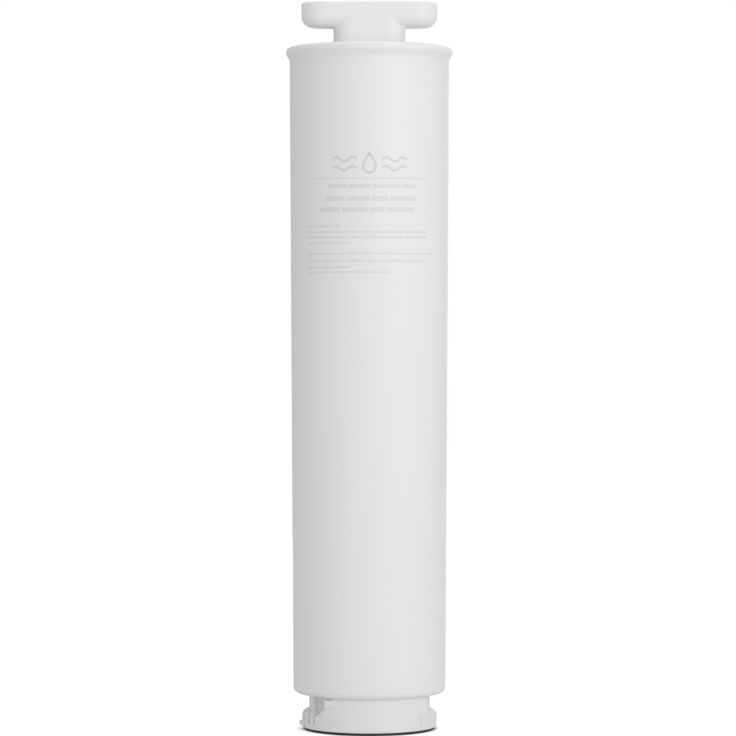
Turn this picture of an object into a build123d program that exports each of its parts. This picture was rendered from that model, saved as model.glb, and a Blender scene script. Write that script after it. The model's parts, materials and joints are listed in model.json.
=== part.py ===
"""Twist-lock water filter cartridge with a T grip.

Row frame: +Z up, origin at the centre of the foot, front towards -Y. All sizes in millimetres.
Angles round the axis are in degrees, measured from the front and positive towards +X.
"""

from build123d import *
import os
from math import cos, radians, sin

CLEAR = 0.1  # assembly clearance between mouldings that stay put
SNUG = 0.05  # clearance of parts pressed or wrapped together
RUN = 0.15  # clearance of the moving valve parts

# Housing
HEIGHT = 382.0
SHELL_FOOT_Z = 19.0
SHELL_FOOT_R = 40.1
SHELL_TOP_R = 42.0
FLANGE_Z = 351.7
SEAM_Z = 355.4
CAP_TOP_Z = 358.2
CAP_UNDER_Z = 354.0
RIM_R = 43.8
RIM_FLARE_H = 2.9
RIM_TOP_ROUND = 2.1
WALL = 2.4
SHELL_FLOOR_T = 3.0
SHELL_FOOT_ROUND = 3.2
BORE_R = SHELL_TOP_R - WALL
BORE_STRAIGHT_Z = 340.0
CAP_WALL = 3.2
CAP_SPIGOT_Z = 342.0
CAP_LEAD = 0.9
CAP_GROOVE_R = BORE_R - 1.8
CAP_GROOVE_Z = 347.0
CAP_GROOVE_H = 2.4
CAP_MARK_R0, CAP_MARK_R1 = 38.2, 40.4
CAP_MARK_DEPTH = 0.7
RING_GAP = 0.08  # between a seal ring and the walls of its groove

# T grip
BAR_LENGTH = 71.6
BAR_DEPTH = 24.0
BAR_Z = 369.0
BAR_UNDER_R = 5.8
BAR_TOP_R = 1.4
STEM_LENGTH = 37.7
STEM_CORNER_R = 9.0
STEM_SET_BACK = 0.05  # how far the stem's faces lie behind the bar's
STEM_SEAT = 1.5
STEM_INTO_BAR = 7.0
STEM_BLEND_R = 1.5
GRIP_WALL = 3.4
GRIP_FLOOR_T = 2.6
LID_EDGE = 2.8
LID_T = 1.6
LID_CHAMFER = 0.3
CLIP_X = 18.0
CLIP_LENGTH = 8.0
CLIP_H = 3.0
PEG_R = 2.0
PEG_LENGTH = 2.0
PEG_X = 9.0

# Base
BASE_FOOT_Z = 1.3
FOOT_ROUND = 0.5
NECK_R = 31.8
LUG_R = 35.5
LUG_TOP_Z = 10.2
LUG_ROUND = 2.2
SKIRT_R = 28.3
MOUTH_R = 29.0
MOUTH_TOP_Z = 6.5
BASE_FLOOR_Z = 16.0
HUB_H = 3.5
SPIGOT_R = 29.6
SPIGOT_BORE_R = 26.5
SPIGOT_TOP_Z = 28.0
GASKET_R0, GASKET_R1 = 30.0, 34.4
GASKET_T = 2.2
GASKET_ROUND = 0.4

# Stop block and its ramp, and the grooves beside it
BLOCK_FROM, BLOCK_TO = -56.0, 61.0
RAMP_MIDDLE, RAMP_HALF = -44.5, 8.5
RAMP_LOW_Z, RAMP_HIGH_Z = 8.4, 14.2
RAMP_SHOULDER = 1.2  # level run before the ramp
RAMP_STEP_LEAN = 0.3
END_AT = 58.5
END_LEAN = 2.6
NOSE_FROM, NOSE_TO = -39.5, -21.0
NOSE_R = 37.9  # at its left end; the flat face runs into the block at the other
NOSE_SEAT_R = 35.0
NOSE_LOW_Z, NOSE_HIGH_Z = 12.9, 17.8
NOSE_ROUND = 0.8
NOSE_BEVEL = 1.5
GROOVES = ((-79.0, -72.0, 1.2), (-67.0, -60.5, 1.8), (-55.8, -53.6, 1.4), (44.6, 50.2, 0.5))
GROOVE_FOOT_Z = 4.4
GROOVE_CLOSED_Z = 8.2
NUB_AT = -86.0
NUB_HALF = 2.2
NUB_R = 36.9
NUB_Z = (2.2, 4.4)

# Port plug under the base
PLUG_R = 20.0
PLUG_BORE_R = 17.0
PLUG_FACE_Z = 8.0
PLUG_FLANGE_R = 26.3
PLATE_T = 2.5
PORT_R = 6.0
PORT_TOP_Z = 14.5
SEAT_R = 3.6
SEAT_Z = 16.5
CHAMBER_R = 5.5
TUBE_R = 9.0
SOCKET_R = 7.2
SOCKET_Z = 31.0
TUBE_TOP_Z = 42.0
INLET_HOLES = 8
INLET_HOLE_R = 1.9
INLET_PITCH_R = 13.1
PLUG_GROOVES_Z = (10.9, 13.9)
PLUG_GROOVE_R = 18.4
PLUG_GROOVE_H = 2.5
PLUG_RING_R = 1.02
PLUG_ROUND = 0.9

# Valves
CHECK_R0, CHECK_R1 = TUBE_R + RUN, 15.8
CHECK_PAD_T = 1.0
CHECK_T = 2.4
CHECK_COLLAR_R = 10.5
CHECK_COLLAR_H = 2.0
CHECK_SPRING_R = 12.6
CHECK_WIRE_R = 0.4
CAGE_Z = 20.2
CAGE_T = 1.8
CAGE_SLOT = (5.2, 4.4)
VALVE_ROUND = 0.5
POPPET_R = 4.7
POPPET_PAD_T = 0.9
POPPET_T = 2.0
POPPET_SPRING_R = 3.0
POPPET_WIRE_R = 0.35
STUB_R = 1.9
GUIDE_R = 1.5
GUIDE_TOP_Z = 31.5
SPIDER_Z = 28.0
SPIDER_T = 2.0
SPIDER_HOLES = 4
SPIDER_HOLE_R = 1.2
SPIDER_PITCH_R = 3.6

# Filter element
ELEMENT_Z0 = 46.0
ELEMENT_Z1 = 338.0
END_T = 3.0
MEDIA_Z0 = ELEMENT_Z0 + END_T
MEDIA_Z1 = ELEMENT_Z1 - END_T
END_R = 36.6
END_ROUND = 1.0
END_COLLAR_H = 7.0
CORE_R0, CORE_R1 = 7.6, 9.0
CARBON_R0, CARBON_R1 = 9.2, 25.0
FLEECE_R1 = 25.9
PLEAT_R0, PLEAT_R1 = 26.4, 34.4
PLEATS = 60
PLEAT_T = 0.45
NET_R0, NET_R1 = 34.8, 35.6
SPIGOT_OUT_R = 6.9
SPIGOT_IN_R = 4.2
SPIGOT_LENGTH = 13.0
SPIGOT_GROOVE_R = 5.5
SPIGOT_GROOVE_Z = 37.0
SPIGOT_GROOVE_H = 1.9
SPIGOT_RING_R = 0.8
CORE_HOLE_R = 1.4
CORE_ROW_STEP = 13.0
CORE_DRILLS = 3  # each drill goes through both walls
NET_ROWS = 8
NET_COLUMNS = 12
NET_WINDOW_W = 14.0
NET_BAR = 3.0
PAD_R0, PAD_R1 = 12.0, 24.0
PAD_BOSS_H = 3.0


def turn(points, rounds=()):
    """Revolves a closed (radius, height) outline about the axis; rounds lists (corner, radius)."""
    face = make_face(Polyline(*points, close=True))
    for corner, radius in rounds:
        vertex = face.vertices().sort_by_distance(Vector(*corner))[0]
        face = fillet(vertex, radius)
    return revolve(Plane.XZ * face, Axis.Z)


def ring(r0, r1, z0, z1):
    """A plain tube between two radii and two heights."""
    return turn([(r0, z0), (r1, z0), (r1, z1), (r0, z1)])


def disc(radius, z0, z1):
    """A solid round between two heights."""
    return Pos(0, 0, (z0 + z1) / 2) * Cylinder(radius, z1 - z0)


def around(shape, count):
    """Copies of a shape, evenly turned about the axis."""
    return [Rot(0, 0, i * 360 / count) * shape for i in range(count)]


def spot(angle, radius):
    """Plan position at an angle from the front."""
    return radius * sin(radians(angle)), -radius * cos(radians(angle))


def wedge(a0, a1, z0, z1, reach=60.0):
    """A pie slice between two angles that are under 180 degrees apart."""
    thirds = [a0 + (a1 - a0) * i / 3 for i in range(4)]
    corners = [(0, 0)] + [spot(a, reach) for a in thirds]
    return Pos(0, 0, z0) * extrude(make_face(Polyline(*corners, close=True)), z1 - z0)


def segment(a0, a1, r0, r1, z0, z1):
    """Part of a tube between two angles."""
    return ring(r0, r1, z0, z1) & wedge(a0, a1, z0, z1)


def o_ring(major, minor, z):
    """A seal ring round the axis at a height."""
    return Pos(0, 0, z) * Torus(major, minor)


def spring(mean_r, wire_r, z0, z1, turns):
    """A compression spring whose wire stays between the two heights."""
    height = z1 - z0 - 2 * wire_r
    path = Helix(pitch=height / turns, height=height, radius=mean_r)
    section = Plane(origin=path @ 0, z_dir=path % 0) * Circle(wire_r)
    return Pos(0, 0, z0 + wire_r) * sweep(section, path=path, is_frenet=True)


# Housing


def shell():
    """Barrel with a drafted wall, a floor round the base's spigot, and the weld flange."""
    foot_bore = SHELL_FOOT_R - WALL
    floor_z = SHELL_FOOT_Z + SHELL_FLOOR_T
    flare_z = FLANGE_Z + RIM_FLARE_H
    outline = [
        (SPIGOT_R + CLEAR, SHELL_FOOT_Z),
        (SHELL_FOOT_R, SHELL_FOOT_Z),
        (SHELL_TOP_R, FLANGE_Z),
        (RIM_R, flare_z),
        (RIM_R, SEAM_Z),
        (BORE_R, SEAM_Z),
        (BORE_R, BORE_STRAIGHT_Z),
        (foot_bore, floor_z + SHELL_FLOOR_T),
        (foot_bore - SHELL_FLOOR_T, floor_z),
        (SPIGOT_R + CLEAR, floor_z),
    ]
    rounds = [
        ((SHELL_FOOT_R, SHELL_FOOT_Z), SHELL_FOOT_ROUND),
        ((SHELL_TOP_R, FLANGE_Z), 1.0),
        ((RIM_R, flare_z), 0.7),
    ]
    return turn(outline, rounds)


def stem_plan(grow):
    """Plan of the grip's stem, grown by an offset."""
    length = STEM_LENGTH + 2 * grow
    depth = BAR_DEPTH - 2 * STEM_SET_BACK + 2 * grow
    return RectangleRounded(length, depth, STEM_CORNER_R + grow)


def top_cap():
    """Weld cap: the upper half of the bead, a spigot with a seal groove, and the grip's seat."""
    spigot_r = BORE_R - CLEAR
    spigot_bore = spigot_r - CAP_WALL
    groove_low = CAP_GROOVE_Z - CAP_GROOVE_H / 2
    groove_high = CAP_GROOVE_Z + CAP_GROOVE_H / 2
    outline = [
        (0, CAP_UNDER_Z),
        (spigot_bore, CAP_UNDER_Z),
        (spigot_bore, CAP_SPIGOT_Z),
        (spigot_r - CAP_LEAD, CAP_SPIGOT_Z),
        (spigot_r, CAP_SPIGOT_Z + CAP_LEAD),
        (spigot_r, groove_low),
        (CAP_GROOVE_R, groove_low),
        (CAP_GROOVE_R, groove_high),
        (spigot_r, groove_high),
        (spigot_r, SEAM_Z),
        (RIM_R, SEAM_Z),
        (RIM_R, CAP_TOP_Z),
        (CAP_MARK_R1, CAP_TOP_Z),
        (CAP_MARK_R1 - CAP_MARK_DEPTH, CAP_TOP_Z - CAP_MARK_DEPTH),
        (CAP_MARK_R0 + CAP_MARK_DEPTH, CAP_TOP_Z - CAP_MARK_DEPTH),
        (CAP_MARK_R0, CAP_TOP_Z),
        (0, CAP_TOP_Z),
    ]
    body = turn(outline, [((RIM_R, CAP_TOP_Z), RIM_TOP_ROUND)])
    seat_z = CAP_TOP_Z - STEM_SEAT
    body -= Pos(0, 0, seat_z) * extrude(stem_plan(CLEAR), STEM_SEAT)
    for x in (-PEG_X, PEG_X):
        body -= Pos(x, 0, 0) * disc(PEG_R + CLEAR, seat_z - PEG_LENGTH - CLEAR, seat_z)
    return body


def blend_stem(grip):
    """Rounds the corner where the stem runs into the bar."""
    low, high = BAR_Z - CLEAR, BAR_Z + BAR_UNDER_R + CLEAR
    reach = STEM_LENGTH / 2 + CLEAR
    middles = [(edge, edge.center()) for edge in grip.edges()]
    corner = [edge for edge, at in middles if low < at.Z < high and abs(at.X) < reach]
    return fillet(corner, STEM_BLEND_R)


def t_handle():
    """Hollow T grip: a bar with round ends on a stem that is nearly flush with its two faces."""
    foot_z = CAP_TOP_Z - STEM_SEAT
    bar = Pos(0, 0, BAR_Z) * extrude(SlotOverall(BAR_LENGTH, BAR_DEPTH), HEIGHT - BAR_Z)
    bar = fillet(bar.edges().group_by(Axis.Z)[0], BAR_UNDER_R)
    bar = fillet(bar.edges().group_by(Axis.Z)[-1], BAR_TOP_R)
    stem = extrude(stem_plan(0), BAR_Z + STEM_INTO_BAR - foot_z)
    grip = blend_stem(bar + Pos(0, 0, foot_z) * stem)
    for inset, z in ((LID_EDGE - CLEAR, HEIGHT - LID_T), (GRIP_WALL, BAR_Z + BAR_UNDER_R - 1)):
        pocket = SlotOverall(BAR_LENGTH - 2 * inset, BAR_DEPTH - 2 * inset)
        grip -= Pos(0, 0, z) * extrude(pocket, HEIGHT - z)
    well_z = foot_z + GRIP_FLOOR_T
    grip -= Pos(0, 0, well_z) * extrude(stem_plan(-GRIP_WALL), BAR_Z + BAR_UNDER_R - well_z)
    for x in (-PEG_X, PEG_X):
        grip += Pos(x, 0, 0) * disc(PEG_R, foot_z - PEG_LENGTH, foot_z)
    return grip


def handle_lid():
    """Snap-in lid that closes the hollow bar from above, with two clip walls."""
    lid_z = HEIGHT - LID_T
    plan = SlotOverall(BAR_LENGTH - 2 * LID_EDGE, BAR_DEPTH - 2 * LID_EDGE)
    lid = chamfer(extrude(plan, LID_T).edges().group_by(Axis.Z)[-1], LID_CHAMFER)
    lid = Pos(0, 0, lid_z) * lid
    clip = Box(CLIP_LENGTH, BAR_DEPTH - 2 * (GRIP_WALL + CLEAR), CLIP_H)
    for x in (-CLIP_X, CLIP_X):
        lid += Pos(x, 0, lid_z - CLIP_H / 2) * clip
    return lid


# Base


def radial_prism(angle, profile, r0, r1):
    """A (tangent, height) profile pushed outwards along one radius."""
    out = Vector(*spot(angle, 1.0), 0)
    side = Vector(cos(radians(angle)), sin(radians(angle)), 0)
    plane = Plane(origin=out * r0, x_dir=side, z_dir=out)
    return extrude(plane * make_face(Polyline(*profile, close=True)), r1 - r0)


def recess():
    """What is missing above the lug ring, all round, down to the neck."""
    over = LUG_R + WALL
    return turn(
        [
            (NECK_R, LUG_TOP_Z),
            (LUG_R - LUG_ROUND, LUG_TOP_Z),
            (LUG_R - 0.29 * LUG_ROUND, LUG_TOP_Z - 0.29 * LUG_ROUND),
            (LUG_R + CLEAR, LUG_TOP_Z - LUG_ROUND),
            (over, LUG_TOP_Z - LUG_ROUND),
            (over, SHELL_FOOT_Z),
            (NECK_R, SHELL_FOOT_Z),
        ],
        [((LUG_R - 0.29 * LUG_ROUND, LUG_TOP_Z - 0.29 * LUG_ROUND), LUG_ROUND)],
    )


def outside_neck(angle, profile):
    """Cutter with a (tangent, height) profile that leaves the neck alone."""
    shape = radial_prism(angle, profile, NECK_R / 2, LUG_R + 2 * WALL)
    return shape & ring(NECK_R, LUG_R + 2 * WALL, 0, SHELL_FOOT_Z)


def ramp_cut():
    """What is missing above the ramp that leads up to the stop block's step."""
    half = LUG_R * sin(radians(RAMP_HALF))
    over = SHELL_FOOT_Z + 1
    wall = -half - RAMP_SHOULDER
    profile = [
        (wall, RAMP_LOW_Z),
        (-half, RAMP_LOW_Z),
        (half, RAMP_HIGH_Z),
        (half + RAMP_STEP_LEAN, over),
        (wall, over),
    ]
    return outside_neck(RAMP_MIDDLE, profile)


def end_cut():
    """The steep drop at the block's other end."""
    over = SHELL_FOOT_Z + 1
    past = END_LEAN + WALL / 2
    profile = [
        (-END_LEAN / 2, over),
        (END_LEAN / 2, LUG_TOP_Z),
        (past, LUG_TOP_Z),
        (past, over),
    ]
    return outside_neck(END_AT, profile)


def nose():
    """Flat-faced nose that stands out of the block's upper corner, over the ramp's end."""
    outline = [
        spot(NOSE_FROM, NOSE_R),
        spot(NOSE_TO, NOSE_SEAT_R),
        spot(NOSE_TO, NECK_R),
        spot(NOSE_FROM, NECK_R),
    ]
    height = NOSE_HIGH_Z - NOSE_LOW_Z
    solid = Pos(0, 0, NOSE_LOW_Z) * extrude(make_face(Polyline(*outline, close=True)), height)
    face_foot = (Vector(*outline[0]) + Vector(*outline[1])) / 2 + Vector(0, 0, NOSE_LOW_Z)
    solid = chamfer(solid.edges().sort_by_distance(face_foot)[:1], NOSE_BEVEL)
    tip = Vector(*outline[0], NOSE_LOW_Z + height / 2)
    return fillet(solid.edges().sort_by_distance(tip)[:1], NOSE_ROUND)


def groove_cut(a0, a1, depth):
    """Upright groove in the lug ring; the ones left of the block are open at the top."""
    high = LUG_TOP_Z + 1 if a1 < 0 else GROOVE_CLOSED_Z
    return segment(a0, a1, LUG_R - depth, LUG_R + WALL, GROOVE_FOOT_Z, high)


def index_nub():
    """Small key that stands out of the lug ring."""
    return segment(NUB_AT - NUB_HALF, NUB_AT + NUB_HALF, NECK_R + 1, NUB_R, *NUB_Z)


def bayonet_base():
    """Skirt, neck, lug ring with two stop blocks, and the spigot that is welded into the shell."""
    hub_r = PLUG_R + CLEAR
    base = turn(
        [
            (MOUTH_R, BASE_FOOT_Z),
            (LUG_R, BASE_FOOT_Z),
            (LUG_R, SHELL_FOOT_Z),
            (SPIGOT_R, SHELL_FOOT_Z),
            (SPIGOT_R, SPIGOT_TOP_Z),
            (SPIGOT_BORE_R, SPIGOT_TOP_Z),
            (SPIGOT_BORE_R, BASE_FLOOR_Z + HUB_H),
            (hub_r, BASE_FLOOR_Z + HUB_H),
            (hub_r, BASE_FLOOR_Z),
            (SKIRT_R, BASE_FLOOR_Z),
            (SKIRT_R, MOUTH_TOP_Z + MOUTH_R - SKIRT_R),
            (MOUTH_R, MOUTH_TOP_Z),
        ],
        [((LUG_R, BASE_FOOT_Z), FOOT_ROUND)],
    )
    free = wedge(BLOCK_TO, BLOCK_FROM + 180, 0, SHELL_FOOT_Z + 1)
    cutters = [recess() & free, ramp_cut(), end_cut()]
    cutters += [groove_cut(*groove) for groove in GROOVES]
    for turned in (0, 180):
        for cutter in cutters:
            base -= Rot(0, 0, turned) * cutter
        base += Rot(0, 0, turned) * nose()
    base += index_nub()
    return base - ring(GASKET_R0 - CLEAR, GASKET_R1 + CLEAR, BASE_FOOT_Z - 1, GASKET_T)


def foot_gasket():
    """Rubber face gasket in the groove of the base; the cartridge stands on it."""
    r0, r1 = GASKET_R0, GASKET_R1
    return turn(
        [(r0, 0), (r1, 0), (r1, GASKET_T), (r0, GASKET_T)],
        [((r0, 0), GASKET_ROUND), ((r1, 0), GASKET_ROUND)],
    )


# Port plug and the two drip-stop valves


def port_plug():
    """Plug with two seal grooves, the inlet plate, the central outlet port and the element's tube."""
    chamber_z = PLUG_FACE_Z + PLATE_T
    flange_z = BASE_FLOOR_Z + HUB_H
    side = []
    for z in PLUG_GROOVES_Z:
        low, high = z - PLUG_GROOVE_H / 2, z + PLUG_GROOVE_H / 2
        side += [(PLUG_R, low), (PLUG_GROOVE_R, low), (PLUG_GROOVE_R, high), (PLUG_R, high)]
    body = turn(
        [(PORT_R, PLUG_FACE_Z), (PLUG_R, PLUG_FACE_Z)]
        + side
        + [
            (PLUG_R, flange_z),
            (PLUG_FLANGE_R, flange_z),
            (PLUG_FLANGE_R, flange_z + PLATE_T),
            (PLUG_BORE_R, flange_z + PLATE_T),
            (PLUG_BORE_R, chamber_z),
            (TUBE_R, chamber_z),
            (TUBE_R, TUBE_TOP_Z),
            (SOCKET_R, TUBE_TOP_Z),
            (SOCKET_R, SOCKET_Z),
            (CHAMBER_R, SOCKET_Z),
            (CHAMBER_R, SEAT_Z),
            (SEAT_R, SEAT_Z),
            (SEAT_R, PORT_TOP_Z),
            (PORT_R, PORT_TOP_Z),
        ],
        [((PLUG_R, PLUG_FACE_Z), PLUG_ROUND)],
    )
    hole = Pos(INLET_PITCH_R, 0, 0) * disc(INLET_HOLE_R, PLUG_FACE_Z - 1, chamber_z + 1)
    return body - around(hole, INLET_HOLES)


def plug_o_rings():
    """The two seal rings of the plug, as one loose pair."""
    major = PLUG_GROOVE_R + PLUG_RING_R + RING_GAP
    return Compound([o_ring(major, PLUG_RING_R, z) for z in PLUG_GROOVES_Z])


def check_ring():
    """Annular valve plate that slides on the outlet tube."""
    low = PLUG_FACE_Z + PLATE_T + CHECK_PAD_T
    top = low + CHECK_T
    return turn(
        [
            (CHECK_R0, low),
            (CHECK_R1, low),
            (CHECK_R1, top),
            (CHECK_COLLAR_R, top),
            (CHECK_COLLAR_R, top + CHECK_COLLAR_H),
            (CHECK_R0, top + CHECK_COLLAR_H),
        ],
        [((CHECK_R1, top), VALVE_ROUND)],
    )


def check_gasket():
    """Rubber face of the check ring, on the inlet holes."""
    low = PLUG_FACE_Z + PLATE_T
    return ring(CHECK_COLLAR_R, CHECK_R1, low, low + CHECK_PAD_T)


def check_spring():
    """Spring between the check ring and the cage."""
    low = PLUG_FACE_Z + PLATE_T + CHECK_PAD_T + CHECK_T
    return spring(CHECK_SPRING_R, CHECK_WIRE_R, low, CAGE_Z, 3)


def valve_cage():
    """Slotted ring that holds the check spring down."""
    cage = ring(TUBE_R + SNUG, PLUG_BORE_R - SNUG, CAGE_Z, CAGE_Z + CAGE_T)
    slot = Pos(INLET_PITCH_R, 0, CAGE_Z + CAGE_T / 2) * Box(*CAGE_SLOT, CAGE_T + 1)
    return cage - around(slot, INLET_HOLES)


def outlet_poppet():
    """Poppet with a stub through the seat and a guide stem through the spider."""
    head_z = SEAT_Z + POPPET_PAD_T
    head_top = head_z + POPPET_T
    return turn(
        [
            (0, PORT_TOP_Z + 0.5),
            (STUB_R, PORT_TOP_Z + 0.5),
            (STUB_R, head_z),
            (POPPET_R, head_z),
            (POPPET_R, head_top),
            (GUIDE_R, head_top),
            (GUIDE_R, GUIDE_TOP_Z),
            (0, GUIDE_TOP_Z),
        ],
        [((POPPET_R, head_top), VALVE_ROUND), ((GUIDE_R, GUIDE_TOP_Z), VALVE_ROUND)],
    )


def poppet_pad():
    """Rubber seal under the poppet's head."""
    return ring(STUB_R, POPPET_R, SEAT_Z, SEAT_Z + POPPET_PAD_T)


def poppet_spring():
    """Spring between the poppet's head and the spider."""
    low = SEAT_Z + POPPET_PAD_T + POPPET_T
    return spring(POPPET_SPRING_R, POPPET_WIRE_R, low, SPIDER_Z, 5)


def outlet_spider():
    """Guide disc with four water holes, pressed into the outlet tube."""
    spider = ring(GUIDE_R + RUN, CHAMBER_R - SNUG, SPIDER_Z, SPIDER_Z + SPIDER_T)
    hole = Pos(SPIDER_PITCH_R, 0, 0) * disc(SPIDER_HOLE_R, SPIDER_Z - 1, SPIDER_Z + SPIDER_T + 1)
    return spider - around(hole, SPIDER_HOLES)


# Filter element


def lower_end_cap():
    """End plate with a rim round the net and a spigot that plugs into the outlet tube."""
    groove_low = SPIGOT_GROOVE_Z - SPIGOT_GROOVE_H / 2
    groove_high = SPIGOT_GROOVE_Z + SPIGOT_GROOVE_H / 2
    foot_z = ELEMENT_Z0 - SPIGOT_LENGTH
    return turn(
        [
            (SPIGOT_IN_R, foot_z),
            (SPIGOT_OUT_R, foot_z),
            (SPIGOT_OUT_R, groove_low),
            (SPIGOT_GROOVE_R, groove_low),
            (SPIGOT_GROOVE_R, groove_high),
            (SPIGOT_OUT_R, groove_high),
            (SPIGOT_OUT_R, ELEMENT_Z0),
            (END_R, ELEMENT_Z0),
            (END_R, MEDIA_Z0 + END_COLLAR_H),
            (NET_R1 + CLEAR, MEDIA_Z0 + END_COLLAR_H),
            (NET_R1 + CLEAR, MEDIA_Z0),
            (SPIGOT_IN_R, MEDIA_Z0),
        ],
        [((END_R, ELEMENT_Z0), END_ROUND)],
    )


def upper_end_cap():
    """Closed end plate with a rim round the net and a boss that centres the pad."""
    return turn(
        [
            (0, MEDIA_Z1),
            (NET_R1 + CLEAR, MEDIA_Z1),
            (NET_R1 + CLEAR, MEDIA_Z1 - END_COLLAR_H),
            (END_R, MEDIA_Z1 - END_COLLAR_H),
            (END_R, ELEMENT_Z1),
            (PAD_R0 - CLEAR, ELEMENT_Z1),
            (PAD_R0 - CLEAR, ELEMENT_Z1 + PAD_BOSS_H),
            (0, ELEMENT_Z1 + PAD_BOSS_H),
        ],
        [((END_R, ELEMENT_Z1), END_ROUND)],
    )


def spigot_o_ring():
    """Seal ring of the element's spigot."""
    return o_ring(SPIGOT_GROOVE_R + SPIGOT_RING_R + SNUG, SPIGOT_RING_R, SPIGOT_GROOVE_Z)


def core_tube():
    """Perforated tube that carries the block and collects the water."""
    tube = ring(CORE_R0, CORE_R1, MEDIA_Z0, MEDIA_Z1)
    drill = Rot(0, 90, 0) * Cylinder(CORE_HOLE_R, 2 * CORE_R1 + 2)
    first = MEDIA_Z0 + CORE_ROW_STEP / 2
    rows = int((MEDIA_Z1 - MEDIA_Z0) / CORE_ROW_STEP)
    step = 180 / CORE_DRILLS
    holes = []
    for row in range(rows):
        stagger = step / 2 * (row % 2)
        for side in range(CORE_DRILLS):
            place = Pos(0, 0, first + row * CORE_ROW_STEP) * Rot(0, 0, step * side + stagger)
            holes.append(place * drill)
    return tube - holes


def carbon_block():
    """Thick tube of bonded carbon."""
    return ring(CARBON_R0, CARBON_R1, MEDIA_Z0, MEDIA_Z1)


def fleece_wrap():
    """Thin sleeve of fleece round the block."""
    return ring(CARBON_R1 + SNUG, FLEECE_R1, MEDIA_Z0, MEDIA_Z1)


def pleated_sheet():
    """Closed zigzag sheet round the block."""
    radial_t = PLEAT_T * (PLEAT_R1 - PLEAT_R0) / (PLEAT_R0 * radians(180 / PLEATS))
    outer, inner = [], []
    for i in range(2 * PLEATS):
        angle = i * 180 / PLEATS
        high = i % 2 == 0
        outer.append(spot(angle, PLEAT_R1 if high else PLEAT_R0 + radial_t))
        inner.append(spot(angle, PLEAT_R1 - radial_t if high else PLEAT_R0))
    plan = make_face(Polyline(*outer, close=True)) - make_face(Polyline(*inner, close=True))
    return Pos(0, 0, MEDIA_Z0) * extrude(plan, MEDIA_Z1 - MEDIA_Z0)


def outer_net():
    """Thin open cage round the pleats."""
    net = ring(NET_R0, NET_R1, MEDIA_Z0, MEDIA_Z1)
    step = (MEDIA_Z1 - MEDIA_Z0 - 2 * END_COLLAR_H) / NET_ROWS
    window = Box(2 * NET_R1 + 2, NET_WINDOW_W, step - NET_BAR)
    cuts = []
    for row in range(NET_ROWS):
        for side in range(NET_COLUMNS // 2):
            turned = Rot(0, 0, side * 360 / NET_COLUMNS)
            cuts.append(Pos(0, 0, MEDIA_Z0 + END_COLLAR_H + (row + 0.5) * step) * turned * window)
    return net - cuts


def hold_down_pad():
    """Foam ring between the element and the cap."""
    return ring(PAD_R0, PAD_R1, ELEMENT_Z1, CAP_UNDER_Z)


def cap_o_ring():
    """Seal ring between the cap's spigot and the shell."""
    minor = (BORE_R - CAP_GROOVE_R) / 2 - RING_GAP
    return o_ring((BORE_R + CAP_GROOVE_R) / 2, minor, CAP_GROOVE_Z)


parts = [
    shell, top_cap, cap_o_ring, t_handle, handle_lid,
    bayonet_base, foot_gasket, port_plug, plug_o_rings,
    check_ring, check_gasket, check_spring, valve_cage,
    outlet_poppet, poppet_pad, poppet_spring, outlet_spider,
    lower_end_cap, upper_end_cap, spigot_o_ring, core_tube,
    carbon_block, fleece_wrap, pleated_sheet, outer_net, hold_down_pad,
]

if __name__ == "__main__":
    os.makedirs("parts", exist_ok=True)
    for make in parts:
        export_step(make(), f"parts/{make.__name__}.step")
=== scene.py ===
"""Looks for the twist-lock water filter cartridge: materials, springs, soft parts, print, light, camera.

Metres, in the same frame as the CAD: +Z up, origin at the centre of the foot, front towards -Y.
"""

import cmath
import json
import math
import random

import bmesh
import bpy
from mathutils import Matrix, Vector, noise
from mathutils.bvhtree import BVHTree


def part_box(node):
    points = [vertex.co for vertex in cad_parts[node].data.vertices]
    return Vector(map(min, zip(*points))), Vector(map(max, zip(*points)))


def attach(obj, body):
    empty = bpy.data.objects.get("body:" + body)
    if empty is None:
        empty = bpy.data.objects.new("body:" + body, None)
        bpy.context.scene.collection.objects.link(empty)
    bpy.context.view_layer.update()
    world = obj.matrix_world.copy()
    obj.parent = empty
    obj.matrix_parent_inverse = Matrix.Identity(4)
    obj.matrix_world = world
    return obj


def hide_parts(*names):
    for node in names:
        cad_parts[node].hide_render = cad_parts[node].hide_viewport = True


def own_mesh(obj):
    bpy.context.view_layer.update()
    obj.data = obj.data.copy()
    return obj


MM = 0.001
EVEN = (1, 1, 1)
SHARP_ANGLE = math.radians(50)  # a bend sharper than this is shaded as an edge
MIX_A, MIX_B, MIX_RESULT = 6, 7, 2  # sockets of a Mix node that mixes colours

# Camera
CAMERA_PLACE = (-0.00076, -1.70, 0.207)
CAMERA_TARGET = (-0.00076, 0.0, 0.1899)
SENSOR = 36.0
LENS = 157.8

# Backdrop, floor and lights
BACKDROP_SEEN = 1.0  # what the camera sees behind the object
BACKDROP_LIGHT = 0.60  # what the backdrop gives the object
FLOOR_RADIUS = 1.6
FLOOR_SIDES = 96
FLOOR_DROP = 0.05 * MM  # how far the floor lies under the foot
FLOOR_GLOW = 0.48  # keeps the seen floor white
FLOOR_TONE = (0.82, 0.82, 0.82)
FLOOR_ROUGHNESS = 0.9
FLOOR_BOUNCE = (0.79, 0.79, 0.79)  # tone of the floor for the light that it throws on the object
CONTACT_REACH = 0.012  # how far the shadow under the foot spreads
CONTACT_SPAN = (0.25, 0.75)  # openness of the floor from full shadow to none
AIM = (0.0, 0.0, 0.19)  # the point that the lamps face
SOFTBOXES = (
    # name, place, width, height, watts
    ("key_softbox", (0.80, -1.40, 0.41), 1.3, 1.1, 7.85),
    ("fill_softbox", (-0.60, -1.65, 0.34), 0.9, 1.1, 2.0),
    ("side_softbox", (1.60, -0.45, 0.13), 0.9, 1.1, 2.1),
    ("top_softbox", (0.10, -0.10, 1.45), 1.1, 1.1, 4.3),
    ("rear_softbox", (0.35, 1.70, 0.55), 0.9, 1.1, 4.1),
)

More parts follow.
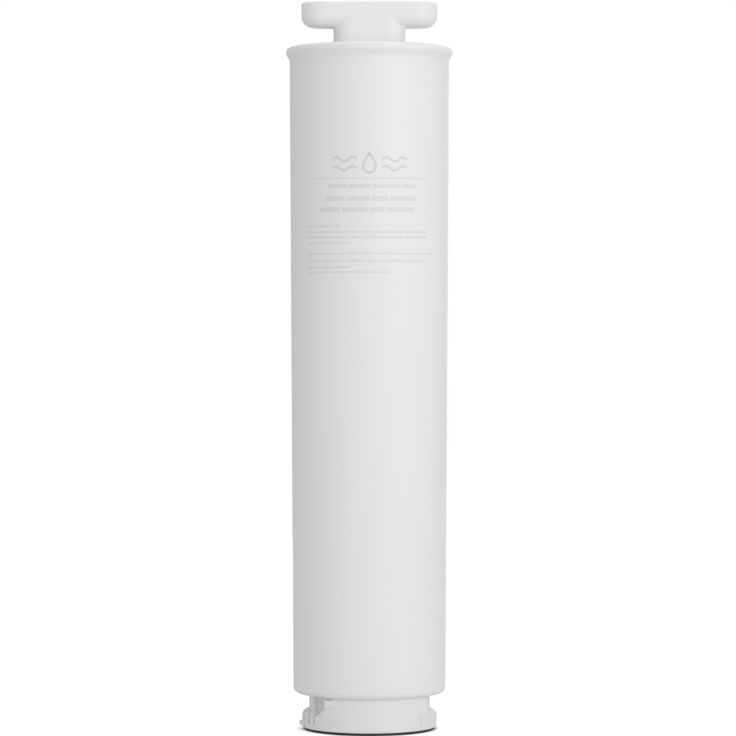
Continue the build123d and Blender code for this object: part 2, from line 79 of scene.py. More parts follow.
# Spans of a noise, or of the distance to a cell's middle, over which a tone or a gloss changes
GENTLE = (0.3, 0.7)
CLOUDY = (0.35, 0.65)
PATCHY = (0.4, 0.7)
HALF_BARE = (0.45, 0.75)
CELL_CORE = (0.0, 0.5)

# Worn edges, found by comparing the surface's normal with a rounded one
EDGE_SAMPLES = 4
EDGE_SPAN = (0.995, 0.80)  # from a flat to a sharp edge

# Moulded plastics: slot, colour, second tone, roughness, stretch of the slow tone changes
PLASTICS = (
    ("housing_white", (0.808, 0.808, 0.807), (0.792, 0.793, 0.792), 0.50, (1, 1, 0.25)),
    ("grip_white", (0.818, 0.818, 0.817), (0.802, 0.803, 0.802), 0.50, (0.4, 1, 1)),
    ("base_white", (0.808, 0.808, 0.807), (0.788, 0.789, 0.788), 0.48, EVEN),
    ("valve_acetal", (0.72, 0.73, 0.70), (0.68, 0.69, 0.66), 0.34, EVEN),
    ("element_plastic", (0.66, 0.71, 0.76), (0.60, 0.66, 0.72), 0.36, EVEN),
    ("net_plastic", (0.84, 0.86, 0.87), (0.80, 0.82, 0.84), 0.38, EVEN),
)
PLASTIC_IOR = 1.49
DRIFT_SIZE = 45 * MM  # slow tone changes
SPECK_SIZE = 0.6 * MM
SPECK_SPAN = (0.62, 0.80)
SPECK_SHARE = 0.10
SPECK_DARKER = 0.86
RUB_R = 0.5 * MM  # edges up to this radius are rubbed
RUB_SHARE = 0.5
RUB_LIGHTER = 1.03
RUB_GLOSS = 0.06
HANDLING_SIZE = 14 * MM
HANDLING_STRETCH = (1, 1, 0.5)
HANDLING_SPAN = (0.35, 0.70)
HANDLING_GLOSS = (-0.04, 0.06)  # added to the roughness
SINK_SIZE, SINK_RELIEF = 22 * MM, 0.02 * MM
SPARK_SIZE, SPARK_RELIEF = 0.35 * MM, 0.006 * MM

# Rubbers: slot, colour, dusty tone, roughness
RUBBERS = (
    ("seal_black", (0.012, 0.012, 0.013), (0.040, 0.040, 0.042), 0.55),
    ("seal_grey", (0.30, 0.31, 0.32), (0.42, 0.43, 0.43), 0.60),
)
RUBBER_IOR = 1.5
BLOOM_SIZE = 5 * MM
BLOOM_SPAN = (0.40, 0.75)
BLOOM_SHARE = 0.6
SCUFF_R = 0.25 * MM  # edges up to this radius are scuffed
SCUFF_SHARE = 0.35
RUBBER_GLOSS = (-0.08, 0.10)  # added to the roughness
RUBBER_SIZE, RUBBER_RELIEF = 0.22 * MM, 0.012 * MM

# Fibre sheets: slot, colour, shaded tone, fibre width, relief
FIBRES = (
    ("fleece", (0.86, 0.86, 0.84), (0.70, 0.70, 0.67), 0.35 * MM, 0.10 * MM),
    ("pleated_media", (0.90, 0.90, 0.88), (0.78, 0.78, 0.76), 0.20 * MM, 0.04 * MM),
)
FIBRE_UPRIGHT = (1, 1, 0.12)
FIBRE_LEVEL = (0.2, 0.2, 1)
FIBRE_TANGLED = (0.5, 0.5, 0.5)
TANGLE_SIZE = 1.7  # as a multiple of the fibre's width
FIBRE_PATCH_SIZE = 20 * MM
FIBRE_PATCH_SHARE = 0.3
FIBRE_GLOSS_SPAN = (0.4, 0.8)
FIBRE_GLOSS = (0.95, 0.8)
FIBRE_SHEEN, FIBRE_SHEEN_ROUGHNESS = 0.25, 0.5

# Spring wire
STEEL = (0.60, 0.59, 0.57)
STEEL_BROWNED = (0.52, 0.48, 0.42)
STEEL_GLOSS = (0.22, 0.38)
STEEL_TINT_SIZE = 3 * MM
DRAWN_SIZE, DRAWN_RELIEF = 0.12 * MM, 0.004 * MM
DRAWN_STRETCH = (1, 1, 0.2)

# Bonded carbon
CARBON_MIDDLE = (0.035, 0.035, 0.036)
# painted shade in the gaps between grains
CARBON_GAP_SHADE = (0.012, 0.012, 0.012)
CARBON_DUSTY = (0.06, 0.058, 0.055)
CARBON_DUST_SHARE = 0.5
CARBON_SPAN = (0.1, 0.6)
CARBON_GLOSS = (0.45, 0.85)
CARBON_SIZE, CARBON_RELIEF = 0.55 * MM, 0.12 * MM
LUMP_SIZE, LUMP_RELIEF = 6 * MM, 0.2 * MM

# Foam
# painted shade inside the pores
FOAM_PORE_SHADE = (0.09, 0.09, 0.095)
FOAM_SKIN = (0.27, 0.27, 0.28)
FOAM_AGED = (0.20, 0.195, 0.19)
FOAM_AGED_SIZE = 9 * MM
FOAM_AGED_SHARE = 0.3
PORE_SIZES = (0.9 * MM, 0.4 * MM)
PORE_SPAN = (0.05, 0.45)
FOAM_GLOSS = (0.98, 0.85)
FOAM_RELIEF = 0.25 * MM
FOAM_SHEEN = 0.1

# Inks: name, full tone, worn tone
MARK_INK = ("mark_ink", (0.645, 0.648, 0.647), (0.710, 0.713, 0.712))
PRINT_INK = ("print_ink", (0.700, 0.702, 0.701), (0.760, 0.762, 0.761))
INK_IOR = 1.49
INK_GLOSS = (0.34, 0.46)
INK_WEAR_SIZE, INK_WEAR_RELIEF = 0.5 * MM, 0.004 * MM

# Springs: node, coil radius, wire radius, free turns, closed turns at each end, joint
SPRINGS = (
    ("poppet_spring", 3.0 * MM, 0.35 * MM, 4.0, 1.0, "outlet_valve_slide"),
    ("check_spring", 12.6 * MM, 0.4 * MM, 2.4, 0.9, "inlet_valve_slide"),
)
COIL_STEPS = 40  # sections in a turn
WIRE_SIDES = 10
COIL_PITCH = 1.02  # closed turns' pitch, as a share of the wire's thickness

# Pleated sheet
PLEATS = 60
PLEAT_T = 0.45 * MM
PLEAT_FOLD_R = 0.45 * MM
PLEAT_FOLD_STEPS = 6
PLEAT_ROWS = 8
PLEAT_UNEVEN_R = 0.12 * MM
PLEAT_UNEVEN_ANGLE = math.radians(0.25)
PLEAT_SWAY = math.radians(0.8)
PLEAT_INNER_R = 26.4 * MM
PLEAT_SEED = 5

# Fleece: one turn and a lap over its start
FLEECE_T = 0.38 * MM
FLEECE_GAP = 0.03 * MM
FLEECE_TURNS = 1.05
FLEECE_STEPS = 150

# Foam pad
PAD_INNER_R = 12.0 * MM
PAD_STEPS = 96
PAD_SECTION_STEPS = 32
PAD_SQUARENESS = 0.42  # 1 is an ellipse, 0 a rectangle
PAD_LUMP = 0.2 * MM
PAD_LUMP_SIZE = 6 * MM

# Print on the barrel
INK_LIFT = 0.03 * MM  # how far the film stands proud
INK_SINK = 0.06 * MM  # how far it reaches into the barrel
PRINT_SEED = 11
PRINT_STEP = math.radians(1.5)
WORD_SHORTEST = 0.45  # as a share of the longest word
WORD_GAP = 0.075  # as a share of the longest word
PRINT_LINES = (
    # left and right end in degrees round from the front; height, stroke and longest word in millimetres
    (-31.0, 34.5, 283.9, 2.0, 16.0),
    (-32.8, 34.5, 277.5, 2.4, 16.0),
    (-38.0, 33.0, 271.9, 2.4, 16.0),
    (-50.1, -21.5, 263.6, 1.0, 8.0),
    (-50.1, 44.9, 260.4, 1.0, 9.0),
    (-50.1, 44.9, 257.7, 1.0, 9.0),
    (-50.1, -14.5, 254.7, 1.0, 8.0),
    (-50.1, 52.6, 249.2, 1.0, 9.0),
    (-50.1, 44.1, 245.5, 1.0, 9.0),
    (-50.1, -14.5, 242.1, 1.0, 8.0),
    (-50.1, 13.9, 239.6, 1.0, 9.0),
)
RULE = (-47.0, 44.0, 288.0, 0.55)  # left and right in degrees, height and stroke in millimetres
MARK_Z = 295.4 * MM
MARK_STROKE = 1.25 * MM
DROP_R = 3.5 * MM
DROP_TIP = 6.3 * MM  # height of the tip over the drop's round middle
DROP_SETTLE = 1.1 * MM  # how far the round middle lies under the mark's middle
DROP_STEPS = 36
DROP_PINCH = 0.75  # how much of the width the tip loses
DROP_SHARPNESS = 3
WAVE_START = 6.9 * MM  # how far from the middle the waves begin
WAVE_LENGTH = 14.0 * MM
WAVE_HEIGHT = 1.15 * MM
WAVE_ROW = 2.3 * MM  # how far a row of waves is above or below the mark's middle
WAVE_CRESTS = 1.5
WAVE_STEPS = 24


# Node graphs


class Graph:
    """One material's nodes, with short calls that add a node and link it."""

    def __init__(self, name):
        self.material = bpy.data.materials.new(name)
        self.material.use_nodes = True
        self.tree = self.material.node_tree
        self.tree.nodes.clear()
        self.shader = self.tree.nodes.new("ShaderNodeBsdfPrincipled")
        output = self.tree.nodes.new("ShaderNodeOutputMaterial")
        self.link(self.shader.outputs["BSDF"], output.inputs["Surface"])

    def link(self, source, target):
        self.tree.links.new(source, target)

    def feed(self, socket, value):
        """Links a socket, or sets its value."""
        if isinstance(value, bpy.types.NodeSocket):
            self.link(value, socket)
        elif isinstance(value, tuple) and len(value) == 3 and len(socket.default_value) == 4:
            socket.default_value = (*value, 1.0)
        else:
            socket.default_value = value

    def coords(self, scale=EVEN):
        """The point on the object, in metres, stretched by a scale."""
        place = self.tree.nodes.new("ShaderNodeTexCoord")
        mapping = self.tree.nodes.new("ShaderNodeMapping")
        mapping.inputs["Scale"].default_value = scale
        self.link(place.outputs["Object"], mapping.inputs["Vector"])
        return mapping.outputs["Vector"]

    def noise(self, size, stretch=EVEN, detail=2.0, rough=0.5):
        """Noise whose blobs are about `size` metres across."""
        node = self.tree.nodes.new("ShaderNodeTexNoise")
        node.inputs["Scale"].default_value = 1 / size
        node.inputs["Detail"].default_value = detail
        node.inputs["Roughness"].default_value = rough
        self.link(self.coords(stretch), node.inputs["Vector"])
        return node.outputs["Fac"]

    def cells(self, size):
        """Distance to the nearest of scattered points that are about `size` metres apart."""
        node = self.tree.nodes.new("ShaderNodeTexVoronoi")
        node.inputs["Scale"].default_value = 1 / size
        self.link(self.coords(), node.inputs["Vector"])
        return node.outputs["Distance"]

    def spread(self, value, low, high, at_low=0.0, at_high=1.0):
        """A value mapped linearly from [low, high] to [at_low, at_high], held at the ends."""
        node = self.tree.nodes.new("ShaderNodeMapRange")
        self.feed(node.inputs["Value"], value)
        node.inputs["From Min"].default_value = low
        node.inputs["From Max"].default_value = high
        node.inputs["To Min"].default_value = at_low
        node.inputs["To Max"].default_value = at_high
        return node.outputs["Result"]

    def math(self, operation, a, b=0.0):
        node = self.tree.nodes.new("ShaderNodeMath")
        node.operation = operation
        self.feed(node.inputs[0], a)
        self.feed(node.inputs[1], b)
        return node.outputs["Value"]

    def mix(self, share, a, b):
        """Colour a, turning into colour b as the share goes from 0 to 1."""
        node = self.tree.nodes.new("ShaderNodeMix")
        node.data_type = "RGBA"
        self.feed(node.inputs["Factor"], share)
        self.feed(node.inputs[MIX_A], a)
        self.feed(node.inputs[MIX_B], b)
        return node.outputs[MIX_RESULT]

    def edges(self, radius):
        """1 on edges sharper than the bevel radius, 0 on flats."""
        bevel = self.tree.nodes.new("ShaderNodeBevel")
        bevel.samples = EDGE_SAMPLES
        bevel.inputs["Radius"].default_value = radius
        shape = self.tree.nodes.new("ShaderNodeNewGeometry")
        dot = self.tree.nodes.new("ShaderNodeVectorMath")
        dot.operation = "DOT_PRODUCT"
        self.link(bevel.outputs["Normal"], dot.inputs[0])
        self.link(shape.outputs["Normal"], dot.inputs[1])
        return self.spread(dot.outputs["Value"], *EDGE_SPAN)

    def bump(self, height, distance, below=None):
        """A bumped normal; `distance` is the height of the relief in metres."""
        node = self.tree.nodes.new("ShaderNodeBump")
        node.inputs["Distance"].default_value = distance
        self.link(height, node.inputs["Height"])
        if below is not None:
            self.link(below, node.inputs["Normal"])
        return node.outputs["Normal"]

    def surface(self, colour, roughness, normal=None, **fixed):
        """Feeds the shader, and returns the finished material."""
        self.feed(self.shader.inputs["Base Color"], colour)
        self.feed(self.shader.inputs["Roughness"], roughness)
        if normal is not None:
            self.link(normal, self.shader.inputs["Normal"])
        for name, value in fixed.items():
            self.shader.inputs[name.replace("_", " ")].default_value = value
        return self.material


# Materials


def scaled(colour, factor):
    """A lighter or darker colour."""
    return tuple(min(1.0, factor * channel) for channel in colour)


def around(value, offsets):
    """A low and a high value, one on each side of a middle one."""
    return tuple(value + offset for offset in offsets)


def moulded_plastic(name, colour, shade, roughness, flow):
    """Satin moulded plastic: slow tone changes along the flow, a spark-eroded grain, rubbed edges."""
    g = Graph(name)
    drift = g.noise(DRIFT_SIZE, flow, detail=3.0)
    speck = g.noise(SPECK_SIZE, detail=1.0)
    tone = g.mix(g.spread(drift, *CLOUDY), colour, shade)
    tone = g.mix(g.spread(speck, *SPECK_SPAN, 0.0, SPECK_SHARE), tone, scaled(shade, SPECK_DARKER))
    edge = g.edges(RUB_R)
    tone = g.mix(g.math("MULTIPLY", edge, RUB_SHARE), tone, scaled(colour, RUB_LIGHTER))
    handling = g.noise(HANDLING_SIZE, HANDLING_STRETCH, detail=4.0, rough=0.6)
    gloss = g.spread(handling, *HANDLING_SPAN, *around(roughness, HANDLING_GLOSS))
    gloss = g.math("SUBTRACT", gloss, g.math("MULTIPLY", edge, RUB_GLOSS))
    sinks = g.bump(g.noise(SINK_SIZE, flow, detail=1.0), SINK_RELIEF)
    grain = g.bump(g.noise(SPARK_SIZE, detail=2.0), SPARK_RELIEF, sinks)
    return g.surface(tone, gloss, grain, IOR=PLASTIC_IOR)


def rubber(name, colour, dusty, roughness):
    """Moulded rubber with a dusty bloom, worn lighter along its edges."""
    g = Graph(name)
    bloom = g.noise(BLOOM_SIZE, detail=5.0, rough=0.65)
    tone = g.mix(g.spread(bloom, *BLOOM_SPAN, 0.0, BLOOM_SHARE), colour, dusty)
    edge = g.edges(SCUFF_R)
    tone = g.mix(g.math("MULTIPLY", edge, SCUFF_SHARE), tone, dusty)
    gloss = g.spread(bloom, *GENTLE, *around(roughness, RUBBER_GLOSS))
    grain = g.bump(g.noise(RUBBER_SIZE, detail=3.0), RUBBER_RELIEF)
    return g.surface(tone, gloss, grain, IOR=RUBBER_IOR)


def spring_wire():
    """Drawn stainless wire: fine lines, and slightly brown from stress relief."""
    g = Graph("spring_steel")
    lines = g.noise(DRAWN_SIZE, DRAWN_STRETCH, detail=3.0)
    tint = g.noise(STEEL_TINT_SIZE, detail=2.0)
    tone = g.mix(g.spread(tint, *CLOUDY), STEEL, STEEL_BROWNED)
    gloss = g.spread(lines, *GENTLE, *STEEL_GLOSS)
    return g.surface(tone, gloss, g.bump(lines, DRAWN_RELIEF), Metallic=1.0)


def carbon():
    """Bonded carbon: coarse black grains with painted shade in the gaps between them, and a few that glint.
    """
    g = Graph("carbon")
    grains = g.cells(CARBON_SIZE)
    lumps = g.noise(LUMP_SIZE, detail=3.0)
    # the gaps between grains get painted shade
    tone = g.mix(g.spread(grains, *CARBON_SPAN), CARBON_MIDDLE, CARBON_GAP_SHADE)
    tone = g.mix(g.spread(lumps, *HALF_BARE, 0.0, CARBON_DUST_SHARE), tone, CARBON_DUSTY)
    gloss = g.spread(grains, *CELL_CORE, *CARBON_GLOSS)
    return g.surface(tone, gloss, g.bump(grains, CARBON_RELIEF, g.bump(lumps, LUMP_RELIEF)))


def nonwoven(name, colour, shade, fibre, relief):
    """Felted fibres: thin noise that runs up the sheet, along it, and tangled."""
    g = Graph(name)
    upright = g.noise(fibre, FIBRE_UPRIGHT, detail=2.0)
    level = g.noise(fibre, FIBRE_LEVEL, detail=2.0)
    tangled = g.noise(fibre * TANGLE_SIZE, FIBRE_TANGLED, detail=4.0)
    mat = g.math("MAXIMUM", g.math("MAXIMUM", upright, level), tangled)
    tone = g.mix(g.spread(mat, *HALF_BARE), shade, colour)
    patches = g.spread(g.noise(FIBRE_PATCH_SIZE), *PATCHY, 0.0, FIBRE_PATCH_SHARE)
    tone = g.mix(patches, tone, shade)
    gloss = g.spread(mat, *FIBRE_GLOSS_SPAN, *FIBRE_GLOSS)
    sheen = {"Sheen_Weight": FIBRE_SHEEN, "Sheen_Roughness": FIBRE_SHEEN_ROUGHNESS}
    return g.surface(tone, gloss, g.bump(mat, relief), **sheen)


def foam():
    """Open-cell foam: painted shade in the pores, with a grey skin between them."""
    g = Graph("pad_foam")
    large, small = PORE_SIZES
    depth = g.math("MINIMUM", g.cells(large), g.cells(small))
    # the pores get painted shade, darkest at their middles
    tone = g.mix(g.spread(depth, *PORE_SPAN), FOAM_PORE_SHADE, FOAM_SKIN)
    aged = g.spread(g.noise(FOAM_AGED_SIZE), *PATCHY, 0.0, FOAM_AGED_SHARE)
    tone = g.mix(aged, tone, FOAM_AGED)
    gloss = g.spread(depth, *CELL_CORE, *FOAM_GLOSS)
    return g.surface(tone, gloss, g.bump(depth, FOAM_RELIEF), Sheen_Weight=FOAM_SHEEN)


def ink(name, full, worn):
    """Pale pad-printed ink, thin in places."""
    g = Graph(name)
    wear = g.noise(INK_WEAR_SIZE, detail=3.0, rough=0.7)
    tone = g.mix(g.spread(wear, *HALF_BARE), full, worn)
    gloss = g.spread(wear, *GENTLE, *INK_GLOSS)
    return g.surface(tone, gloss, g.bump(wear, INK_WEAR_RELIEF), IOR=INK_IOR)


def make_materials():
    """One finished material for each of the record's slots."""
    materials = {row[0]: moulded_plastic(*row) for row in PLASTICS}
    materials.update({row[0]: rubber(*row) for row in RUBBERS})
    materials.update({row[0]: nonwoven(*row) for row in FIBRES})
    materials["spring_steel"] = spring_wire()
    materials["carbon"] = carbon()
    materials["pad_foam"] = foam()
    return materials


def dress(obj, material):
    """Puts one material on a piece or a CAD node, in every slot."""
    if not obj.data.materials:
        obj.data.materials.append(material)
    for i in range(len(obj.data.materials)):
        obj.data.materials[i] = material


def dress_nodes(nodes, record, materials):
    """Every CAD node gets the material of its slot."""
    for part in record["subparts"]:
        dress(nodes[part["node"]], materials[part["material_slot"]])


# Pieces


def outward(angle):
    """The level direction at an angle from the front, turning to the right."""
    return Vector((math.sin(angle), -math.cos(angle), 0))


def polar(angle, radius, z):
    return outward(angle) * radius + Vector((0, 0, z))


def join_rings(bm, rings, wrap):
    """Skins a row of closed rings of points. The last ring joins the first, or both ends are capped."""
    loops = [[bm.verts.new(point) for point in ring] for ring in rings]
    pairs = list(zip(loops, loops[1:]))
    if wrap:
        pairs.append((loops[-1], loops[0]))
    for a, b in pairs:
        for j in range(len(a)):
            k = (j + 1) % len(a)
            bm.faces.new((a[j], a[k], b[k], b[j]))
    if not wrap:
        bm.faces.new(reversed(loops[0]))
        bm.faces.new(loops[-1])


def skin(name, strips):
    """A smooth-shaded mesh of (rings, wrap) strips, sharp only at real edges."""
    bm = bmesh.new()
    for rings, wrap in strips:
        join_rings(bm, rings, wrap)
    bmesh.ops.recalc_face_normals(bm, faces=bm.faces)
    mesh = bpy.data.meshes.new(name)
    bm.to_mesh(mesh)
    bm.free()
    mesh.shade_smooth()
    mesh.set_sharp_from_angle(angle=SHARP_ANGLE)
    return mesh


def make_piece(name, strips, material):
    """A piece that is skinned, dressed, and rides on the housing."""
    piece = bpy.data.objects.new(name, skin(name, strips))
    bpy.context.scene.collection.objects.link(piece)
    dress(piece, material)
    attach(piece, "housing")
    return piece


# Springs


def coil_rings(mean_r, wire_r, turns, closed, low, high):
    """Sections of a coil spring's wire, with `closed` turns wound flat at each end."""
    total = turns + 2 * closed
    steps = int(total * COIL_STEPS)
    flat = 2 * wire_r * COIL_PITCH
    first, last = low + wire_r, high - wire_r
    pitch = (last - first - 2 * flat * closed) / turns
    rings = []
    for i in range(steps + 1):
        turn = total * i / steps
        if turn < closed:
            z = first + flat * turn
        elif turn > total - closed:
            z = last - flat * (total - turn)
        else:
            z = first + flat * closed + pitch * (turn - closed)
        ring = []
        for j in range(WIRE_SIDES):
            side = math.tau * j / WIRE_SIDES
            radius = mean_r + wire_r * math.cos(side)
            ring.append(polar(math.tau * turn, radius, z + wire_r * math.sin(side)))
        rings.append(ring)
    return rings


def make_springs(material):
    """Coils for the valve springs."""
    for node, mean_r, wire_r, turns, closed, joint in SPRINGS:
        low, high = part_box(node)
        rings = coil_rings(mean_r, wire_r, turns, closed, low.z, high.z)
        piece = make_piece(node + "_coil", [(rings, False)], material)
        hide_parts(node)
        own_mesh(piece)


# Soft parts of the filter element


def upright_sheet(path, thickness, low, high, rows, wrap):
    """Sections of a sheet that stands on a level path. The path is its middle, as complex numbers."""
    heights = [low + (high - low) * row / rows for row in range(rows + 1)]
    count = len(path)
    rings = []
    for i, at in enumerate(path):
        before = path[i - 1] if wrap or i > 0 else at
        after = path[(i + 1) % count] if wrap or i < count - 1 else at
        heading = after - before
        side = -1j * heading / abs(heading) * thickness / 2
        outer = [Vector(((at + side).real, (at + side).imag, z)) for z in heights]
        inner = [Vector(((at - side).real, (at - side).imag, z)) for z in reversed(heights)]
        rings.append(outer + inner)
    return rings


def pleat_folds(outer_r, rng):
    """Centres of the folds, out and in by turns, each a little off its place."""
    inset = PLEAT_FOLD_R + PLEAT_T / 2 + PLEAT_UNEVEN_R
    folds = []
    for i in range(2 * PLEATS):
        radius = outer_r - inset if i % 2 == 0 else PLEAT_INNER_R + inset
        radius += rng.uniform(-PLEAT_UNEVEN_R, PLEAT_UNEVEN_R)
        angle = math.pi * i / PLEATS + rng.uniform(-PLEAT_UNEVEN_ANGLE, PLEAT_UNEVEN_ANGLE)
        folds.append(cmath.rect(radius, angle))
    return folds


def pleat_path(folds):
    """The middle of the sheet: straight flanks, and round folds that turn left outside and right inside."""
    count = len(folds)
    headings = []
    for i, centre in enumerate(folds):
        span = folds[(i + 1) % count] - centre
        lean = math.asin(2 * PLEAT_FOLD_R / abs(span))
        headings.append(cmath.phase(span) + (lean if i % 2 == 0 else -lean))
    path = []
    for i, centre in enumerate(folds):
        turn = 1 if i % 2 == 0 else -1
        sweep = turn * (headings[i] - headings[i - 1]) % math.tau
        for step in range(PLEAT_FOLD_STEPS + 1):
            heading = headings[i - 1] + turn * sweep * step / PLEAT_FOLD_STEPS
            path.append(centre + cmath.rect(PLEAT_FOLD_R, heading - turn * math.pi / 2))
    return path


def sway(rings, low, high):
    """Turns each height a little round the axis, so that no fold is dead straight."""
    for ring in rings:
        for point in ring:
            share = (point.z - low) / (high - low)
            point.rotate(Matrix.Rotation(PLEAT_SWAY * math.sin(math.pi * share), 3, "Z"))


def make_pleats(material):
    low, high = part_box("pleated_sheet")
    path = pleat_path(pleat_folds(high.x, random.Random(PLEAT_SEED)))
    rings = upright_sheet(path, PLEAT_T, low.z, high.z, PLEAT_ROWS, True)
    sway(rings, low.z, high.z)
    piece = make_piece("pleated_sheet_folds", [(rings, True)], material)
    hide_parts("pleated_sheet")


def make_fleece(material):
    """The fleece goes once round the block and laps over its own start."""
    low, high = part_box("fleece_wrap")
    outer_r = high.x - FLEECE_GAP - FLEECE_T / 2
    pitch = FLEECE_T + FLEECE_GAP
    path = []
    for i in range(FLEECE_STEPS + 1):
        turn = FLEECE_TURNS * i / FLEECE_STEPS
        path.append(cmath.rect(outer_r - pitch * (FLEECE_TURNS - turn), math.tau * turn))
    rings = upright_sheet(path, FLEECE_T, low.z, high.z, 1, False)
    piece = make_piece("fleece_wrap_turn", [(rings, False)], material)
    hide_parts("fleece_wrap")


def bowed(value):
    """Half of a soft-cornered square's outline, for a sine or cosine."""
    return math.copysign(abs(value) ** PAD_SQUARENESS, value)


def make_pad(material):
    """Foam ring, pressed flat above and below, with bowed sides and slight lumps."""
    low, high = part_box("hold_down_pad")
    half_width = (high.x - PAD_INNER_R) / 2 - PAD_LUMP
    half_height = (high.z - low.z) / 2
    middle_r, middle_z = (high.x + PAD_INNER_R) / 2, (high.z + low.z) / 2
    rings = []
    for i in range(PAD_STEPS):
        ring = []
        for j in range(PAD_SECTION_STEPS):
            side = math.tau * (j + 0.5) / PAD_SECTION_STEPS
            z = middle_z + half_height * bowed(math.sin(side))
            point = polar(math.tau * i / PAD_STEPS, middle_r + half_width * bowed(math.cos(side)), z)
            lump = PAD_LUMP * noise.noise(point / PAD_LUMP_SIZE)
            ring.append(point + outward(math.tau * i / PAD_STEPS) * lump)
        rings.append(ring)
    piece = make_piece("hold_down_pad_foam", [(rings, True)], material)
    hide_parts("hold_down_pad")


# Print on the barrel


class Barrel:
    """The outside of the shell, as a place to print on: an angle round from the front, and a height."""

    def __init__(self, shell):
        points = [v.co for v in shell.data.vertices]
        self.tree = BVHTree.FromPolygons(points, [tuple(p.vertices) for p in shell.data.polygons])
        self.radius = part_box("shell")[1].x

    def point(self, angle, z, lift):
        out = outward(angle)
        start = out * (2 * self.radius) + Vector((0, 0, z))
        hit, _, _, _ = self.tree.ray_cast(start, -out)
        return hit + out * lift


def stroke(barrel, path, width, closed=False):
    """One printed stroke: a thin film along a path of (angle, height)."""
    count = len(path)
    rings = []
    for i, (angle, z) in enumerate(path):
        before = path[i - 1] if closed or i > 0 else path[i]
        after = path[(i + 1) % count] if closed or i < count - 1 else path[i]
        along = Vector(((after[0] - before[0]) * barrel.radius, after[1] - before[1])).normalized()
        across, up = -along.y * width / 2 / barrel.radius, along.x * width / 2
        edges = ((angle + across, z + up), (angle - across, z - up))
        top = [barrel.point(*edge, INK_LIFT) for edge in edges]
        under = [barrel.point(*edge, -INK_SINK) for edge in reversed(edges)]
        rings.append(top + under)
    return rings, closed


def level_path(left, right, z):
    """Points along a level line, from angle to angle."""
    steps = max(1, math.ceil((right - left) / PRINT_STEP))
    return [(left + (right - left) * i / steps, z) for i in range(steps + 1)]


def words(rng, left, right, longest):
    """Splits a line into word-length dashes."""
    dashes = []
    start = left
    while start < right - longest * WORD_SHORTEST:
        end = min(start + longest * rng.uniform(WORD_SHORTEST, 1.0), right)
        dashes.append((start, end))
        start = end + longest * WORD_GAP
    dashes[-1] = (dashes[-1][0], right)
    return dashes


def line_strokes(barrel):
    """Lines of blank dashes for the small print."""
    rng = random.Random(PRINT_SEED)
    strokes = []
    for left, right, height, width, longest in PRINT_LINES:
        ends = math.radians(left), math.radians(right)
        for start, end in words(rng, *ends, longest * MM / barrel.radius):
            strokes.append(stroke(barrel, level_path(start, end, height * MM), width * MM))
    return strokes


def drop_path(radius):
    """A drop's outline: a circle drawn up into a point."""
    path = []
    for i in range(DROP_STEPS):
        a = math.tau * i / DROP_STEPS
        pull = max(0.0, math.cos(a)) ** DROP_SHARPNESS
        across = DROP_R * math.sin(a) * (1 - DROP_PINCH * pull)
        up = DROP_R * math.cos(a) * (1 - pull) + DROP_TIP * pull - DROP_SETTLE
        path.append((across / radius, MARK_Z + up))
    return path


def wave_path(radius, side, row):
    """One of the waves beside the drop."""
    path = []
    for i in range(WAVE_STEPS + 1):
        share = i / WAVE_STEPS
        across = side * (WAVE_START + WAVE_LENGTH * share)
        up = row * WAVE_ROW + WAVE_HEIGHT * math.sin(math.tau * WAVE_CRESTS * share)
        path.append((across / radius, MARK_Z + up))
    return path[::side]


def make_print(barrel):
    """Generic print: a drop between waves, a rule, and blank small print."""
    left, right, height, width = RULE
    rule = level_path(math.radians(left), math.radians(right), height * MM)
    mark = [stroke(barrel, drop_path(barrel.radius), MARK_STROKE, True)]
    for side in (-1, 1):
        for row in (-1, 1):
            mark.append(stroke(barrel, wave_path(barrel.radius, side, row), MARK_STROKE))
    small_print = ink(*PRINT_INK)
    make_piece("print_lines", line_strokes(barrel), small_print)
    make_piece("print_rule", [stroke(barrel, rule, width * MM)], small_print)
    make_piece("print_mark", mark, ink(*MARK_INK))


# Stage


def make_world():
    """White backdrop, which lights the object less than it shows."""
    world = bpy.data.worlds.new("backdrop")
    world.use_nodes = True
    nodes, links = world.node_tree.nodes, world.node_tree.links
    nodes.clear()
    rays = nodes.new("ShaderNodeLightPath")
    level = nodes.new("ShaderNodeMapRange")
    level.inputs["To Min"].default_value = BACKDROP_LIGHT
    level.inputs["To Max"].default_value = BACKDROP_SEEN
    background = nodes.new("ShaderNodeBackground")
    background.inputs["Color"].default_value = (1.0, 1.0, 1.0, 1.0)
    output = nodes.new("ShaderNodeOutputWorld")
    links.new(rays.outputs["Is Camera Ray"], level.inputs["Value"])
    links.new(level.outputs["Result"], background.inputs["Strength"])
    links.new(background.outputs["Background"], output.inputs["Surface"])
    bpy.context.scene.world = world


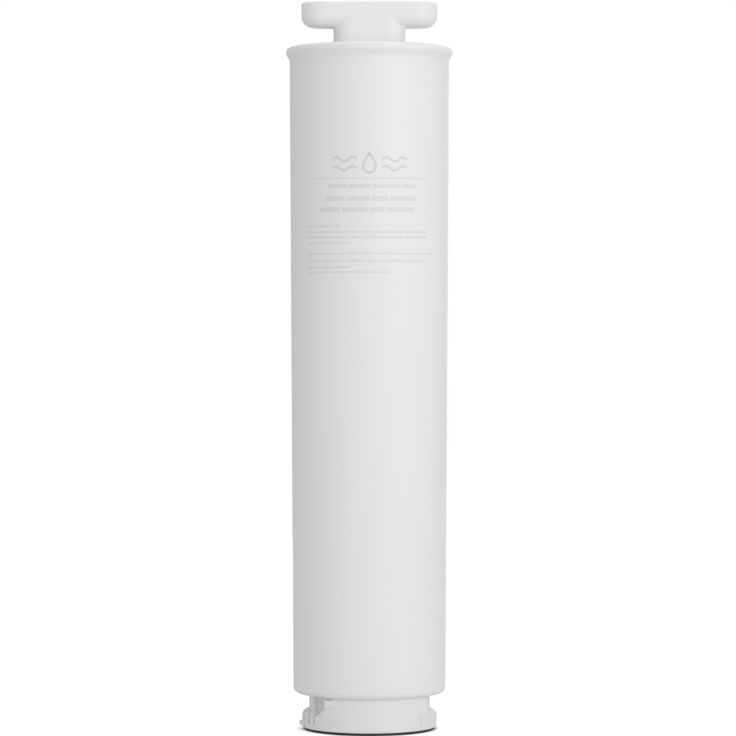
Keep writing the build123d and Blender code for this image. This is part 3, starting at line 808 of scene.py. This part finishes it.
def make_floor():
    """A plain pale floor, just under the foot."""
    mesh = bpy.data.meshes.new("floor")
    bm = bmesh.new()
    bmesh.ops.create_circle(bm, cap_ends=True, segments=FLOOR_SIDES, radius=FLOOR_RADIUS)
    bm.to_mesh(mesh)
    bm.free()
    floor = bpy.data.objects.new("floor", mesh)
    bpy.context.scene.collection.objects.link(floor)
    floor.location.z = -FLOOR_DROP
    g = Graph("floor_white")
    seen = g.tree.nodes.new("ShaderNodeLightPath").outputs["Is Camera Ray"]
    contact = g.tree.nodes.new("ShaderNodeAmbientOcclusion")
    contact.inputs["Distance"].default_value = CONTACT_REACH
    open_floor = g.spread(contact.outputs["AO"], *CONTACT_SPAN, 0.0, FLOOR_GLOW)
    g.feed(g.shader.inputs["Emission Strength"], g.math("MULTIPLY", seen, open_floor))
    g.shader.inputs["Emission Color"].default_value = (1.0, 1.0, 1.0, 1.0)
    dress(floor, g.surface(g.mix(seen, FLOOR_BOUNCE, FLOOR_TONE), FLOOR_ROUGHNESS))


def aim(obj, target):
    obj.rotation_euler = (Vector(target) - obj.location).to_track_quat("-Z", "Y").to_euler()


def make_lights():
    for name, place, width, height, watts in SOFTBOXES:
        light = bpy.data.lights.new(name, "AREA")
        light.shape = "RECTANGLE"
        light.size = width
        light.size_y = height
        light.energy = watts
        lamp = bpy.data.objects.new(name, light)
        bpy.context.scene.collection.objects.link(lamp)
        lamp.location = place
        lamp.visible_camera = False
        aim(lamp, AIM)


def make_camera():
    data = bpy.data.cameras.new("camera")
    data.sensor_width = SENSOR
    data.lens = LENS
    camera = bpy.data.objects.new("camera", data)
    bpy.context.scene.collection.objects.link(camera)
    camera.location = CAMERA_PLACE
    aim(camera, CAMERA_TARGET)
    bpy.context.scene.camera = camera


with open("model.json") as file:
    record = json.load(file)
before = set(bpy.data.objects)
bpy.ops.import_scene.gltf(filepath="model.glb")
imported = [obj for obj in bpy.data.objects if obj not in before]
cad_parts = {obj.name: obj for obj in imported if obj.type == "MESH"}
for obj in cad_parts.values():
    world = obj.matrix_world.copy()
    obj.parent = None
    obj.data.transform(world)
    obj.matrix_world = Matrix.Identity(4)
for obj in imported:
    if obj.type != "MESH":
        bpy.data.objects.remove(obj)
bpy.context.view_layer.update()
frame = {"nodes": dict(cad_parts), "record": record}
bpy.context.scene.view_settings.view_transform = "Standard"
make_camera()
make_world()
make_floor()
make_lights()
materials = make_materials()
dress_nodes(frame["nodes"], frame["record"], materials)
make_springs(materials["spring_steel"])
make_pleats(materials["pleated_media"])
make_fleece(materials["fleece"])
make_pad(materials["pad_foam"])
make_print(Barrel(frame["nodes"]["shell"]))
